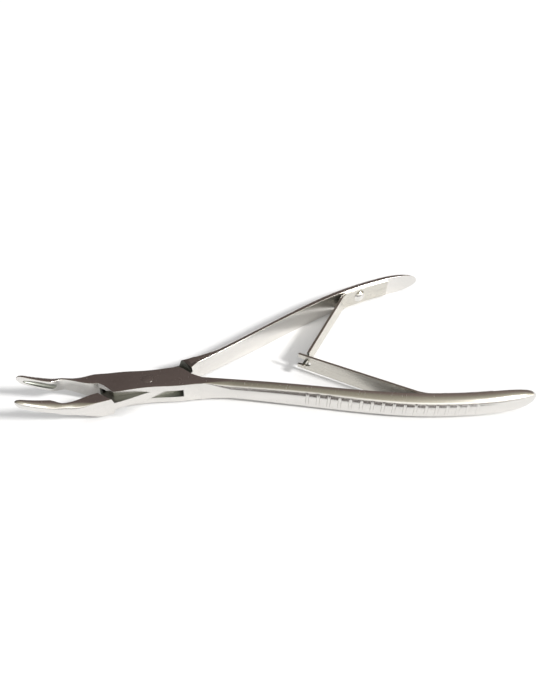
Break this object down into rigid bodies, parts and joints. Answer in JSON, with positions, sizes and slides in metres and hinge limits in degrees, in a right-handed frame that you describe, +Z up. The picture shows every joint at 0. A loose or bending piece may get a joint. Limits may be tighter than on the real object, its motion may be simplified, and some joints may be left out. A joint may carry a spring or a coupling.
{
  "type": "box-joint nipping pliers",
  "caption": "Small steel nipping pliers with curved spoon jaws, a box joint, grooved bow handles and a double leaf spring that holds them open.",
  "frame": {"origin": "where the pivot axis meets the flat underside of the joint", "axes": "+X along the middle line towards the handles, +Y towards the handle that carries the hooked spring, +Z up along the pivot axis, the way the jaws curve"},
  "size_m": [0.1359, 0.0702, 0.0108],
  "materials": {
    "satin_steel": "satin, fine brushed, ground edges",
    "pin_steel": "ground flush with the joint",
    "spring_steel": "brushed along the strip",
    "screw_steel": "polished dome"
  },
  "bodies": {
    "box": {"box_half": "satin_steel", "pivot_pin": "pin_steel", "fork_spring_foot": "spring_steel", "fork_spring_screw": "screw_steel"},
    "tongue": {"tongue_half": "satin_steel", "hook_spring_foot": "spring_steel", "hook_spring_screw": "screw_steel"},
    "hook_leaf": {"hook_spring_leaf": "spring_steel"},
    "fork_leaf": {"fork_spring_leaf": "spring_steel"}
  },
  "joints": [
    {"name": "pivot", "type": "hinge", "parent": "box", "child": "tongue", "pos_m": [0, 0, 0.0029], "axis": [0, 0, 1], "range_deg": [-15.6, 0], "stiffness_Nm_per_rad": 0.8, "springref_deg": 1.15},
    {"name": "hook_bend", "type": "hinge", "parent": "tongue", "child": "hook_leaf", "pos_m": [0.07062, 0.02649, 0.0029], "axis": [0, 0, 1], "range_deg": [-10.5, 0]},
    {"name": "fork_bend", "type": "hinge", "parent": "box", "child": "fork_leaf", "pos_m": [0.07062, -0.02649, 0.0029], "axis": [0, 0, 1], "range_deg": [0, 14]}
  ],
  "couplings": [
    {"joint": "hook_bend", "follows": "pivot", "ratio": 0.66},
    {"joint": "fork_bend", "follows": "pivot", "ratio": -0.886}
  ]
}
